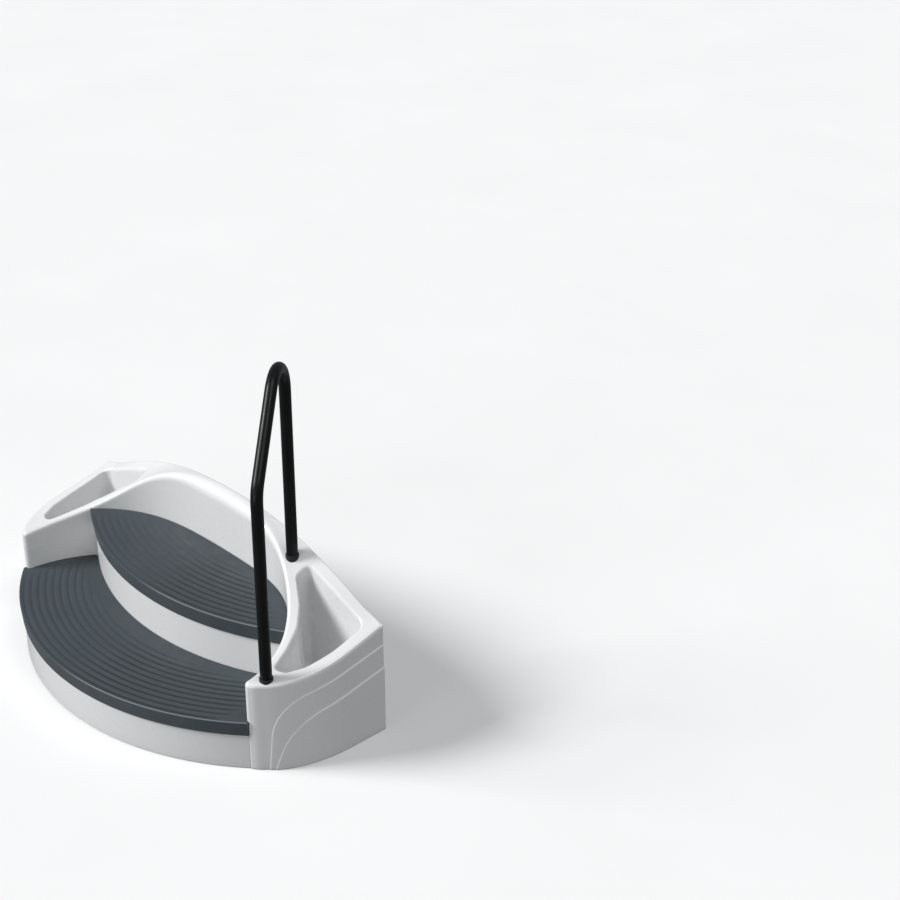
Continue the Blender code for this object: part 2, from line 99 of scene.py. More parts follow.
POCKET_FLOOR = 0.13
POCKET_DRAFT = 0.014
POCKET_LIP_R = 0.008
POCKET_TOE_R = 0.016
POCKET_CORNERS = [
    ((0.494, -0.042), 0.02),
    ((0.492, -0.098), 0.02),
    ((0.57, -0.148), 0.05),
    ((0.627, -0.205), 0.08),
    ((0.672, -0.29), 0.15),
    ((0.708, -0.382), 0.02),
    ((0.752, -0.366), 0.03),
    ((0.783, -0.3), 0.1),
    ((0.795, -0.2), 0.12),
    ((0.795, -0.042), 0.035),
]
DRAIN_AT = (0.715, -0.2)
DRAIN_R = 0.0103

PANEL = 0.006
FLANGE_Y = -0.014
REBATE_Y = -PANEL - GAP
REBATE_MARGIN = 0.0085
WINDOW_MARGIN = 0.034

TUBE_R = 0.0212
TUBE_BORE_R = 0.0192
RAIL_FOOT = ((0.734, -0.434), (0.43, -0.064))
RAIL_KNEE = 1.075
RAIL_LEAN = radians(41.9)
RAIL_KNEE_R = 0.09
RAIL_TOP_R = 0.125
RAIL_SOCKET = 0.11
RAIL_HOLE_R = 0.0247
RAIL_REST = 0.003  # thickness of the plug's end, on which the tube stands
SOCKET_R = 0.0245
SOCKET_BORE_R = 0.0218
SOCKET_DROP = 0.034  # from the moulding's surface down to the socket's rim
COLLAR_R = 0.0243
COLLAR_RISE = 0.01

VOXEL = 0.005
FIELD_FRONT = -0.512  # the distance field's front, depth and underside
FIELD_DEPTH = 0.522
FIELD_BASE = -0.006
EDGE_TURN = 0.42  # the moulding's mesh is made finer where its faces turn by more than this


# ---- curves that the body follows ----
def arch(x):
    """Height of the back rim in the rear plane."""
    return 0.6431 - 0.2276 * x**2 - 0.3706 * x**4 + 0.4154 * x**6


def smooth_step(value):
    value = np.clip(value, 0.0, 1.0)
    return value * value * (3 - 2 * value)


def rim_height(x, y):
    """Height of the body's top: level at the middle of the back, falling along the wings."""
    along = (y + 0.5) / 0.5
    fall = 0.25 * along + 0.75 * along**2
    level = smooth_step((0.65 - abs(x)) / 0.45)
    share = fall + (1 - fall) * level
    lean = 0.006 * smooth_step((abs(x) - 0.62) / 0.18)
    return WING_FRONT_TOP + (arch(x) - WING_FRONT_TOP) * share - lean


BACK_WALL = (0.0548, 0.0964, 1.1619)  # the back wall's depth in plan, by powers of X squared


def back_wall_y(x):
    return -(BACK_WALL[0] + BACK_WALL[1] * x**2 + BACK_WALL[2] * x**4)


def wing_face_x(y):
    return 0.687 - 1.3 * (y + 0.5) ** 2


def arc_y(centre_y, radius, x):
    return centre_y - sqrt(radius**2 - x**2)


def spaced(start, end, count):
    return [start + (end - start) * i / count for i in range(count + 1)]


def rounded(corners, closed, steps=4):
    """A path through (point, radius) corners, each turned into an arc of so many steps."""
    points = []
    count = len(corners)
    for i, (corner, radius) in enumerate(corners):
        if radius == 0 or (not closed and i in (0, count - 1)):
            points.append(tuple(corner))
            continue
        here = Vector(corner)
        back = (Vector(corners[i - 1][0]) - here).normalized()
        ahead = (Vector(corners[(i + 1) % count][0]) - here).normalized()
        half = back.angle(ahead) / 2
        centre = here + (back + ahead).normalized() * (radius / sin(half))
        start = here + back * (radius / tan(half)) - centre
        end = here + ahead * (radius / tan(half)) - centre
        turn = pi - 2 * half
        for step in range(steps + 1):
            part = step / steps
            arm = (start * sin((1 - part) * turn) + end * sin(part * turn)) / sin(turn)
            points.append(tuple(centre + arm))
    return points


def side_point(angle):
    return (SIDE_CENTRE[0] + SIDE_A * cos(angle), SIDE_CENTRE[1] - SIDE_B * sin(angle))


def nose_arc(reach, start, end, count):
    """Points at one distance from the middle of a wing's nose."""
    x, y = NOSE_CENTRE
    return [(x + reach * cos(a), y + reach * sin(a)) for a in spaced(start, end, count)]


def body_outline():
    """The body's right half in plan, carried on past the middle and past the rear plane."""
    past = -0.05
    points = [(past, -past), (HALF_WIDTH, -past)]
    points += [side_point(angle) for angle in spaced(0, SIDE_END, 90)]
    points += nose_arc(NOSE_R, radians(292), radians(182), 30)
    blend = 0.035  # the two inner faces meet in a short easy bend
    start = Vector((wing_face_x(WING_JOIN_Y - blend), WING_JOIN_Y - blend))
    corner = Vector((wing_face_x(WING_JOIN_Y), WING_JOIN_Y))
    end_x = corner.x - blend
    end = Vector((end_x, back_wall_y(end_x)))
    points += [(wing_face_x(y), y) for y in spaced(WING_TIP_Y, start.y, 50)]
    for t in spaced(0, 1, 16)[1:-1]:
        points.append(tuple(start.lerp(corner, t).lerp(corner.lerp(end, t), t)))
    points += [(x, back_wall_y(x)) for x in spaced(end.x, past, 150)]
    return points


# ---- distance fields ----
def outline_distance(x, y, outline):
    """Signed distance from points to a closed outline, negative inside."""
    nearest = np.full(x.shape, np.inf)
    inside = np.zeros(x.shape, bool)
    for (ax, ay), (bx, by) in zip(outline, outline[1:] + outline[:1]):
        ex, ey = bx - ax, by - ay
        share = np.clip(((x - ax) * ex + (y - ay) * ey) / (ex * ex + ey * ey + 1e-18), 0, 1)
        nearest = np.minimum(nearest, (x - ax - share * ex) ** 2 + (y - ay - share * ey) ** 2)
        if ay != by:
            crosses = (ay > y) != (by > y)
            inside ^= crosses & (x < ax + (y - ay) * ex / ey)
    return np.where(inside, -1, 1) * np.sqrt(nearest)


class Outline:
    """Distance to an outline, kept on a fine grid and read back by cubic interpolation."""

    STEP = 0.002
    MARGIN = 0.03

    def __init__(self, points):
        spots = np.array(points)
        self.low = spots.min(axis=0) - self.MARGIN
        counts = np.ceil((spots.max(axis=0) + self.MARGIN - self.low) / self.STEP).astype(int)
        x = self.low[0] + self.STEP * np.arange(counts[0] + 1)
        y = self.low[1] + self.STEP * np.arange(counts[1] + 1)
        self.values = outline_distance(*np.meshgrid(x, y, indexing="ij"), points)

    @staticmethod
    def weights(t):
        return (
            (-t + 2 * t**2 - t**3) / 2,
            (2 - 5 * t**2 + 3 * t**3) / 2,
            (t + 4 * t**2 - 3 * t**3) / 2,
            (-(t**2) + t**3) / 2,
        )

    def __call__(self, x, y):
        rows, columns = self.values.shape
        u = np.clip((x - self.low[0]) / self.STEP, 1, rows - 2.001)
        v = np.clip((y - self.low[1]) / self.STEP, 1, columns - 2.001)
        i, j = u.astype(int), v.astype(int)
        across, down = self.weights(u - i), self.weights(v - j)
        total = np.zeros(np.shape(u))
        for a in range(4):
            for b in range(4):
                total += self.values[i + a - 1, j + b - 1] * across[a] * down[b]
        return total


def both(a, b, radius):
    """The field of what lies inside both shapes, with the edge between them rounded."""
    rounding = np.hypot(np.maximum(a + radius, 0), np.maximum(b + radius, 0))
    return np.minimum(np.maximum(a, b), -radius) + rounding


BODY_PLAN = Outline(body_outline())
POCKET_PLAN = Outline(rounded(POCKET_CORNERS, closed=True, steps=14))

# the two steps of the relief on a wing's outer face: corners at (distance from the rear along the
# face, height), each with its radius
RELIEF_UPPER = [((-0.1, 0.376), 0), ((0.4557, 0.2704), 0.173), ((0.4882, -0.1), 0)]
RELIEF_LOWER = [((-0.1, 0.2857), 0), ((0.3918, 0.1893), 0.224), ((0.4936, -0.1), 0)]
RELIEF_EDGE = 0.006  # how wide each step's slope is
RELIEF_DEPTH = (0.0022, 0.0045)  # each step's height near the nose and near the rear
RELIEF_GROWS = (0.42, 0.3)  # distance from the rear where the steps start to grow, and over what
RELIEF_END = (0.72, 0.035)  # X where the steps start beside the nose, and the width they fade over
RELIEF_LEAST_X = 0.715
RELIEF_BANDS = [
    Outline(rounded(corners, closed=False, steps=40) + [(-0.1, -0.1)])
    for corners in (RELIEF_UPPER, RELIEF_LOWER)
]
FACE_ANGLES = np.linspace(0, SIDE_END, 200)
FACE_RATES = np.hypot(SIDE_A * np.sin(FACE_ANGLES), SIDE_B * np.cos(FACE_ANGLES))
FACE_STEPS = (FACE_RATES[1:] + FACE_RATES[:-1]) / 2 * FACE_ANGLES[1]
FACE_LENGTHS = np.concatenate([[0], np.cumsum(FACE_STEPS)])


def face_angle(x, y):
    """The ellipse angle of the outer face beside a point, 0 on its straight rear stretch."""
    ahead = np.maximum(SIDE_CENTRE[1] - y, 0) / SIDE_B
    return np.arctan2(ahead, np.maximum(x - SIDE_CENTRE[0], 0.01) / SIDE_A)


def face_length(x, y):
    """Distance along the outer face from the rear plane."""
    straight = np.clip(-y, 0, -SIDE_CENTRE[1])
    return straight + np.interp(face_angle(x, y), FACE_ANGLES, FACE_LENGTHS)


def relief(x, y, z):
    """How far the outer face is set back at a point."""
    s = face_length(x, y)
    towards_rear = smooth_step((RELIEF_GROWS[0] - s) / RELIEF_GROWS[1])
    depth = RELIEF_DEPTH[0] + (RELIEF_DEPTH[1] - RELIEF_DEPTH[0]) * towards_rear
    total = 0
    for band in RELIEF_BANDS:
        total = total + depth * smooth_step(band(s, z) / RELIEF_EDGE + 0.5)
    return total * smooth_step((x - RELIEF_END[0]) / RELIEF_END[1])


def body_field(x, y, z):
    """Distance to the white moulding's surface, negative in the plastic."""
    half_x = np.abs(x)
    angle = face_angle(half_x, y)
    normal_x, normal_y = np.cos(angle) / SIDE_A, -np.sin(angle) / SIDE_B
    size = np.hypot(normal_x, normal_y)
    set_back = relief(half_x, y, z)
    plan = BODY_PLAN(half_x + set_back * normal_x / size, y + set_back * normal_y / size) + SKIN
    rim = rim_height(half_x, y)
    eps = 0.001
    slope_x = (rim_height(half_x + eps, y) - rim) / eps
    slope_y = (rim_height(half_x, y + eps) - rim) / eps
    top = (z - rim) / np.sqrt(1 + slope_x**2 + slope_y**2)

    towards_middle = smooth_step((BACK_EDGE_START - half_x) / BACK_EDGE_BLEND)
    edge = EDGE_R + (BACK_EDGE_R - EDGE_R) * towards_middle
    outer = both(both(both(plan, top, edge), y + SKIN, REAR_EDGE_R), FLOOR_GAP - z, 0.003)

    slope = POCKET_DRAFT / (WING_FRONT_TOP - POCKET_FLOOR)
    pocket_wall = POCKET_PLAN(half_x, y) + np.maximum(0, WING_FRONT_TOP - z) * slope
    pocket = both(pocket_wall, POCKET_FLOOR - z, POCKET_TOE_R)
    shell = both(outer, -pocket, POCKET_LIP_R)

    hollow = both(plan + WALL, top + WALL, np.maximum(edge - WALL, 0.004))
    hollow = both(both(hollow, y - FLANGE_Y, 0.003), WALL - pocket, 0.004)
    return both(shell, -hollow, 0.0015)


def field_slope(x, y, z):
    eps = 0.0004
    slopes = []
    for dx, dy, dz in eps * np.eye(3):
        slopes.append(body_field(x + dx, y + dy, z + dz) - body_field(x - dx, y - dy, z - dz))
    return np.stack(slopes, axis=1) / (2 * eps)


def settle(points, rounds=3):
    """Moves points onto the body's surface."""
    for _ in range(rounds):
        slope = field_slope(*points.T)
        value = body_field(*points.T)
        size = np.maximum((slope**2).sum(axis=1), 0.25)
        points = points - slope * np.clip(value / size, -VOXEL / 2, VOXEL / 2)[:, None]
    return points


# ---- mesh helpers ----
def placed(name, data):
    made = bpy.data.objects.new(name, data)
    bpy.context.scene.collection.objects.link(made)
    return made


def smoothed(mesh, sharp):
    """Shades a mesh smooth, except at edges sharper than so many degrees."""
    mesh.shade_smooth()
    mesh.set_sharp_from_angle(angle=radians(sharp))


def shown(name, mesh, look, sharp=35):
    """A shown object from a mesh in plan coordinates."""
    mesh.transform(Matrix.Translation((0, REAR_Y, 0)))
    smoothed(mesh, sharp)
    mesh.materials.clear()
    mesh.materials.append(look)
    return placed(name, mesh)


def mesh_of(name, bm):
    mesh = bpy.data.meshes.new(name)
    bm.to_mesh(mesh)
    bm.free()
    return mesh


def from_bmesh(name, bm, look, sharp=35):
    bmesh.ops.recalc_face_normals(bm, faces=bm.faces)
    return shown(name, mesh_of(name, bm), look, sharp)


def loft_bmesh(sections, closed=False):
    """A skin over sections of equally many points: capped at both ends, or joined when closed."""
    bm = bmesh.new()
    rings = [[bm.verts.new(point) for point in section] for section in sections]
    following = rings[1:] + rings[:1] if closed else rings[1:]
    for ring, after in zip(rings, following):
        for i in range(len(ring)):
            j = (i + 1) % len(ring)
            bm.faces.new((ring[i], ring[j], after[j], after[i]))
    if not closed:
        bm.faces.new(rings[0])
        bm.faces.new(rings[-1])
    return bm


def turned_bmesh(profile, at, sides=64, axis="Z"):
    """A profile of (radius, height) turned about Z, or laid over so that it is turned about Y."""
    bm = bmesh.new()
    verts = [bm.verts.new((radius, 0, height)) for radius, height in profile]
    pairs = list(zip(verts, verts[1:]))
    if profile[0][0] > 0:
        pairs.append((verts[-1], verts[0]))
    edges = [bm.edges.new(pair) for pair in pairs]
    geom = verts + edges
    bmesh.ops.spin(bm, geom=geom, cent=(0, 0, 0), axis=(0, 0, 1), angle=2 * pi, steps=sides)
    bmesh.ops.remove_doubles(bm, verts=bm.verts, dist=1e-6)
    bmesh.ops.dissolve_degenerate(bm, dist=1e-7, edges=bm.edges)
    for vert in bm.verts:
        if axis == "Y":
            vert.co = (vert.co.x, vert.co.z, -vert.co.y)
        vert.co += Vector(at)
    return bm


def eased(corners, radius):
    """A profile with its corners rounded, except where it starts and ends."""
    return rounded([(corner, radius) for corner in corners], closed=False)


def cut_by(target, cutter, operation):
    """Applies a Boolean to the target and drops the cutter."""
    modifier = target.modifiers.new("cut", "BOOLEAN")
    modifier.operation = operation
    modifier.object = cutter
    graph = bpy.context.evaluated_depsgraph_get()
    result = bpy.data.meshes.new_from_object(target.evaluated_get(graph))
    target.modifiers.clear()
    target.data = result
    bpy.data.objects.remove(cutter)


# ---- materials ----
class Look:
    """A Principled material whose colour, roughness and bump come from procedural nodes."""

    def __init__(self, name, metallic=0.0, coat=0.0):
        self.material = bpy.data.materials.new(name)
        self.material.use_nodes = True
        self.tree = self.material.node_tree
        self.shader = self.tree.nodes["Principled BSDF"]
        self.shader.inputs["Metallic"].default_value = metallic
        self.shader.inputs["Coat Weight"].default_value = coat
        self.shader.inputs["Coat Roughness"].default_value = 0.12
        self.spot = self.node("ShaderNodeTexCoord").outputs["Object"]

    def node(self, kind, **values):
        made = self.tree.nodes.new(kind)
        for name, value in values.items():
            setattr(made, name, value)
        return made

    def wire(self, start, end):
        self.tree.links.new(start, end)

    def stretched(self, scale):
        """The object coordinates scaled along each axis."""
        made = self.node("ShaderNodeMapping")
        made.inputs["Scale"].default_value = scale
        self.wire(self.spot, made.inputs["Vector"])
        return made.outputs["Vector"]

    def noise(self, scale, detail=4.0, rough=0.55, spot=None):
        made = self.node("ShaderNodeTexNoise")
        made.inputs["Scale"].default_value = scale
        made.inputs["Detail"].default_value = detail
        made.inputs["Roughness"].default_value = rough
        self.wire(spot or self.spot, made.inputs["Vector"])
        return made.outputs["Fac"]

    def ramp(self, factor, *stops):
        """A colour ramp over (position, grey or colour) stops."""
        made = self.node("ShaderNodeValToRGB")
        elements = made.color_ramp.elements
        while len(elements) < len(stops):
            elements.new(0.5)
        for element, (place, colour) in zip(elements, stops):
            element.position = place
            element.color = (*(colour if isinstance(colour, tuple) else (colour,) * 3), 1)
        self.wire(factor, made.inputs["Fac"])
        return made.outputs["Color"]

    def maths(self, operation, first, second):
        made = self.node("ShaderNodeMath", operation=operation)
        for socket, value in zip(made.inputs, (first, second)):
            if isinstance(value, (int, float)):
                socket.default_value = value
            else:
                self.wire(value, socket)
        return made.outputs["Value"]

    def mixed(self, factor, first, second):
        """The first colour changed to the second by a factor."""
        made = self.node("ShaderNodeMix", data_type="RGBA")
        sockets = (made.inputs[0], made.inputs[6], made.inputs[7])
        for socket, value in zip(sockets, (factor, first, second)):
            if isinstance(value, (int, float)):
                socket.default_value = value
            elif isinstance(value, tuple):
                socket.default_value = (*value, 1)
            else:
                self.wire(value, socket)
        return made.outputs[2]

    def attribute(self, name):
        return self.node("ShaderNodeAttribute", attribute_name=name).outputs["Fac"]

    def height(self):
        """The height above the floor."""
        parts = self.node("ShaderNodeSeparateXYZ")
        self.wire(self.spot, parts.inputs["Vector"])
        return parts.outputs["Z"]

    def colour(self, socket):
        self.wire(socket, self.shader.inputs["Base Color"])

    def roughness(self, factor, low, high):
        self.wire(self.ramp(factor, (0.3, low), (0.7, high)), self.shader.inputs["Roughness"])

    def bump(self, *layers):
        """Bump layers of (height, strength, distance), one over another."""
        under = None
        for height, strength, distance in layers:
            made = self.node("ShaderNodeBump")
            made.inputs["Strength"].default_value = strength
            made.inputs["Distance"].default_value = distance
            self.wire(height, made.inputs["Height"])
            if under is not None:
                self.wire(under, made.inputs["Normal"])
            under = made.outputs["Normal"]
        self.wire(under, self.shader.inputs["Normal"])


def white_look(name="white_moulding_look", gloss=(0.22, 0.32)):
    """Moulded plastic with a faint orange peel, a slow shade drift and a little dust low down."""
    look = Look(name, coat=0.25)
    shades = (0.3, (0.785, 0.796, 0.8)), (0.72, (0.812, 0.82, 0.82))
    drift = look.ramp(look.noise(1.6, 3.0), *shades)
    low_down = look.ramp(look.height(), (0.0, 0.3), (0.045, 0.0))
    dust = look.maths("MULTIPLY", low_down, look.noise(16.0, 5.0, 0.6))
    look.colour(look.mixed(dust, drift, (0.52, 0.505, 0.475)))
    look.roughness(look.noise(6.0, 4.0, 0.55), *gloss)
    look.bump((look.noise(120.0, 1.0, 0.3), 0.02, 0.0005), (look.noise(12.0, 2.0), 0.03, 0.003))
    return look.material


def slate_look():
    """Grained slate-grey plastic: painted shade in the grooves, painted highlights along the
    ridges' edges and the nosing, and the ridges partly worn paler.
    """
    look = Look("slate_tread_look")
    look.shader.inputs["Specular IOR Level"].default_value = 0.26
    shades = (0.3, (0.052, 0.064, 0.073)), (0.72, (0.061, 0.074, 0.084))
    base = look.ramp(look.noise(4.0, 4.0, 0.55), *shades)
    grain = look.noise(900.0, 3.0, 0.6)
    base = look.mixed(look.ramp(grain, (0.42, 0.0), (0.7, 0.18)), base, (0.085, 0.1, 0.112))
    patchy_highlight_and_wear = look.ramp(look.noise(14.0, 4.0), (0.34, 0.35), (0.66, 0.8))
    # painted shade darkens the grooves, painted highlights varied like wear pale the ridges' edges,
    # and a strong painted highlight lines the nosing's brow
    painted_light_marks = ("groove", 0.85, (0.021, 0.027, 0.032)), ("painted_highlight_and_wear", patchy_highlight_and_wear, (0.15, 0.168, 0.18))
    for name, strength, shade in (*painted_light_marks, ("brow", 0.6, (0.36, 0.39, 0.41))):
        base = look.mixed(look.maths("MULTIPLY", look.attribute(name), strength), base, shade)
    look.colour(base)
    look.roughness(look.noise(26.0, 4.0, 0.6), 0.46, 0.6)
    look.bump((grain, 0.16, 0.0005), (look.noise(60.0, 3.0), 0.06, 0.002))
    return look.material


def black_look():
    """Powder coat: near black, with a fine even texture and faint rubbed patches."""
    look = Look("black_powder_coat_look")
    look.shader.inputs["Specular IOR Level"].default_value = 0.2
    shades = (0.35, (0.0034, 0.0036, 0.0039)), (0.75, (0.0062, 0.0064, 0.0068))
    look.colour(look.ramp(look.noise(7.0, 5.0, 0.6), *shades))
    look.roughness(look.noise(18.0, 5.0, 0.6), 0.28, 0.4)
    look.bump((look.noise(620.0, 2.0, 0.5), 0.1, 0.0004))
    return look.material


def rubber_look():
    look = Look("black_rubber_look")
    dust = look.ramp(look.noise(60.0, 6.0, 0.65), (0.5, 0.0), (0.8, 0.35))
    look.colour(look.mixed(dust, (0.01, 0.01, 0.011), (0.04, 0.039, 0.037)))
    look.roughness(look.noise(45.0, 4.0), 0.62, 0.8)
    look.bump((look.noise(800.0, 3.0, 0.6), 0.2, 0.0003))
    return look.material


def steel_look():
    """Zinc plate: a bright blue-grey with crystal patches and a few dull stains."""
    look = Look("zinc_steel_look", metallic=1.0)
    crystals = look.node("ShaderNodeTexVoronoi")
    crystals.inputs["Scale"].default_value = 340.0
    look.wire(look.spot, crystals.inputs["Vector"])
    shades = (0.0, (0.5, 0.515, 0.535)), (0.9, (0.66, 0.665, 0.67))
    shade = look.ramp(crystals.outputs["Distance"], *shades)
    stain = look.ramp(look.noise(90.0, 6.0, 0.7), (0.56, 0.0), (0.78, 0.55))
    look.colour(look.mixed(stain, shade, (0.34, 0.325, 0.3)))
    look.roughness(look.noise(120.0, 4.0), 0.22, 0.46)
    look.bump((look.noise(900.0, 3.0), 0.1, 0.0002))
    return look.material


def nylon_look():
    look = Look("grey_nylon_look")
    shades = (0.3, (0.125, 0.132, 0.14)), (0.75, (0.175, 0.183, 0.19))
    look.colour(look.ramp(look.noise(40.0, 5.0), *shades))
    look.roughness(look.noise(70.0, 4.0), 0.42, 0.6)
    look.bump((look.noise(700.0, 3.0), 0.15, 0.0003))
    return look.material


def timber_look(name, along):
    """Pressure-treated softwood, its grain along one axis, with growth rings and a green tinge."""
    look = Look(name)
    fine = [60.0, 60.0, 60.0]
    broad = [11.0, 11.0, 11.0]
    fine[along] = 3.0
    broad[along] = 0.9
    wave = {"wave_type": "RINGS", "rings_direction": "XYZ"[along], "wave_profile": "SAW"}
    rings = look.node("ShaderNodeTexWave", **wave)
    rings.inputs["Scale"].default_value = 5.0
    rings.inputs["Distortion"].default_value = 5.0
    rings.inputs["Detail"].default_value = 3.0
    look.wire(look.stretched(broad), rings.inputs["Vector"])
    grain = look.noise(9.0, 6.0, 0.65, look.stretched(fine))
    shades = (0.0, (0.47, 0.36, 0.19)), (0.7, (0.36, 0.27, 0.13)), (1.0, (0.23, 0.16, 0.07))
    wood = look.ramp(rings.outputs["Fac"], *shades)
    wood = look.mixed(look.ramp(grain, (0.4, 0.0), (0.75, 0.6)), wood, (0.25, 0.18, 0.085))
    tinge = look.ramp(look.noise(6.0, 4.0), (0.35, 0.1), (0.75, 0.38))
    look.colour(look.mixed(tinge, wood, (0.27, 0.3, 0.13)))
    look.roughness(look.noise(30.0, 4.0), 0.62, 0.82)
    look.bump((grain, 0.3, 0.0009), (rings.outputs["Fac"], 0.1, 0.001))
    return look.material


WHITE = white_look()
PANEL_WHITE = white_look("white_panel_look", gloss=(0.34, 0.48))
SLATE = slate_look()
BLACK = black_look()
RUBBER = rubber_look()
STEEL = steel_look()
NYLON = nylon_look()
TIMBER = [timber_look(f"treated_timber_{axis}_look", along) for along, axis in enumerate("xyz")]


def finish_piece(made, body, node):
    """Keeps flat faces flat beside eased edges, and puts the piece in its node's place."""
    weighted = made.modifiers.new("flat_faces", "WEIGHTED_NORMAL")
    weighted.keep_sharp = True
    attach(made, body)
    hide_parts(node)


def turned_piece(name, profile, at, look, body, node, sharp=35):
    finish_piece(from_bmesh(name, turned_bmesh(profile, at), look, sharp), body, node)


# ---- white body ----
def near_relief(points):
    """True for points on a wing's outer face close to one of the relief's two steps."""
    x, y, z = points.T
    s = face_length(np.abs(x), y)
    close = np.minimum(*[np.abs(band(s, z)) for band in RELIEF_BANDS])
    angle = face_angle(np.abs(x), y)
    outer_x = np.where(y > SIDE_CENTRE[1], HALF_WIDTH, SIDE_CENTRE[0] + SIDE_A * np.cos(angle))
    on_face = (np.abs(x) > outer_x - 0.01) & (np.abs(x) > RELIEF_LEAST_X)
    return on_face & (close < RELIEF_EDGE * 1.3)


def refined(mesh):
    """Cuts each quad near the relief's steps and along the rounded edges into finer ones."""
    bm = bmesh.new()
    bm.from_mesh(mesh)
    marked = near_relief(np.array([vert.co for vert in bm.verts]))
    for edge in bm.edges:
        if edge.calc_face_angle(0.0) > EDGE_TURN:
            marked[[vert.index for vert in edge.verts]] = True
    edges = [edge for edge in bm.edges if any(marked[vert.index] for vert in edge.verts)]
    bmesh.ops.subdivide_edges(bm, edges=edges, cuts=2, use_grid_fill=True)
    bm.to_mesh(mesh)
    bm.free()


def make_body_moulding():
    """The moulding as polygons of its distance field, with its openings cut."""
    high = float(rim_height(0.0, 0.0)) + 0.012
    half_count = ceil((HALF_WIDTH + 0.009) / VOXEL)
    x = VOXEL * (np.arange(-half_count, half_count) + 0.5)
    y = FIELD_FRONT + VOXEL * np.arange(ceil(FIELD_DEPTH / VOXEL))
    z = FIELD_BASE + VOXEL * np.arange(ceil((high - FIELD_BASE) / VOXEL))
    values = np.empty((len(x), len(y), len(z)), np.float32)
    for i, across in enumerate(x):
        spots = np.meshgrid([across], y, z, indexing="ij")
        values[i] = body_field(*[s.ravel() for s in spots]).reshape(len(y), len(z))
    grid = openvdb.FloatGrid()
    grid.background = 1.0
    grid.copyFromArray(values)
    points, triangles, quads = grid.convertToPolygons(isovalue=0.0, adaptivity=0.0)
    points = np.array([x[0], y[0], z[0]]) + points * VOXEL
    mesh = bpy.data.meshes.new("white_moulding")
    faces = [face[::-1] for face in [*triangles.tolist(), *quads.tolist()]]
    mesh.from_pydata(settle(points).tolist(), [], faces)
    refined(mesh)
    flat = np.empty(len(mesh.vertices) * 3, np.float32)
    mesh.vertices.foreach_get("co", flat)
    settled = settle(flat.reshape(-1, 3).astype(float), 2)
    mesh.vertices.foreach_set("co", settled.astype(np.float32).ravel())
    mesh.validate()
    body = shown("white_moulding", mesh, WHITE, 40)
    window = rear_opening(WINDOW_MARGIN, WINDOW_MARGIN, FLANGE_Y - 0.004)
    cut_by(body, from_bmesh("window", window, WHITE), "DIFFERENCE")
    cut_by(body, opening_cutters(), "DIFFERENCE")
    body.data.set_sharp_from_angle(angle=radians(40))
    finish_piece(body, "steps", "body_moulding")


def rear_opening(margin, bottom, front):
    """A prism shaped like the rear face less a margin, from a front plane out past the rear."""
    reach = HALF_WIDTH - margin
    outline = [(-reach, bottom), (reach, bottom)]
    outline += [(x, arch(x) - margin) for x in spaced(reach, -reach, 80)]
    return loft_bmesh([[(x, y, z) for x, z in outline] for y in (front, 0.01)])


def hole_bmesh(at, radius, low, high, sides):
    """An upright cylinder to cut a hole with."""
    return turned_bmesh([(0, low), (radius, low), (radius, high), (0, high)], (*at, 0), sides)


def opening_cutters():
    """One mesh of the rear panel's rebate, the two rail holes and the two drain holes."""
    shapes = [rear_opening(REBATE_MARGIN, -0.004, REBATE_Y)]
    shapes += [hole_bmesh(at, RAIL_HOLE_R, 0.3, 0.7, 96) for at in RAIL_FOOT]
    for sign in (1, -1):
        shapes.append(hole_bmesh((sign * DRAIN_AT[0], DRAIN_AT[1]), DRAIN_R, 0.1, 0.14, 64))
    cutters = bmesh.new()
    for shape in shapes:
        cutters.from_mesh(mesh_of("opening", shape))
    return from_bmesh("openings", cutters, WHITE)


# ---- treads ----
GROOVE_PITCH = 0.028
GROOVE_START = 0.016  # from the nosing's front edge to the middle of the first groove
GROOVE_COUNT = 11
GROOVE_HALF = 0.0105
GROOVE_DEPTH = 0.0016
# rows of vertices across a groove, in half widths from its middle
GROOVE_OFFSETS = (1.25, 1.0, 0.8, 0.6, 0.4, 0.2, 0, -0.2, -0.4, -0.6, -0.8, -1.0, -1.25)
GROOVE_END_GAP = 0.03  # a groove ends this far from a wall
GROOVE_FADE = 0.07  # and comes to its full depth over this distance
RIDGE_BAND = 0.4  # half width of the band of painted highlight, partly wear, at a groove's edge, in half widths of the groove
NOSE_EASE = 0.0022
TREAD_INNER_R = 0.6  # the slab is swept in to this radius, and then trimmed
TREAD_STEPS = 260
PAINTED_LIGHT_START = -0.08  # X where the painted light on the treads starts to grow towards the handrail side
PAINTED_LIGHT_BLEND = 0.24
# painted light that lightens the nosing's face
NOSING_FACE_PAINTED_LIGHT = 0.25


def groove_offset(radius, front_r):
    """How far a radius lies from the middle of its groove, in half widths of the groove."""
    from_front = front_r - radius
    number = round((from_front - GROOVE_START) / GROOVE_PITCH)
    if not 0 <= number < GROOVE_COUNT:
        return inf
    return abs(from_front - GROOVE_START - number * GROOVE_PITCH) / GROOVE_HALF


def tread_rows(front_r):
    """Radii from the nosing inwards, close together in the grooves."""
    rows = []
    for number in range(GROOVE_COUNT):
        middle = front_r - GROOVE_START - number * GROOVE_PITCH
        rows += [middle + GROOVE_HALF * offset for offset in GROOVE_OFFSETS]
    return rows + [middle - GROOVE_PITCH / 2, TREAD_INNER_R]


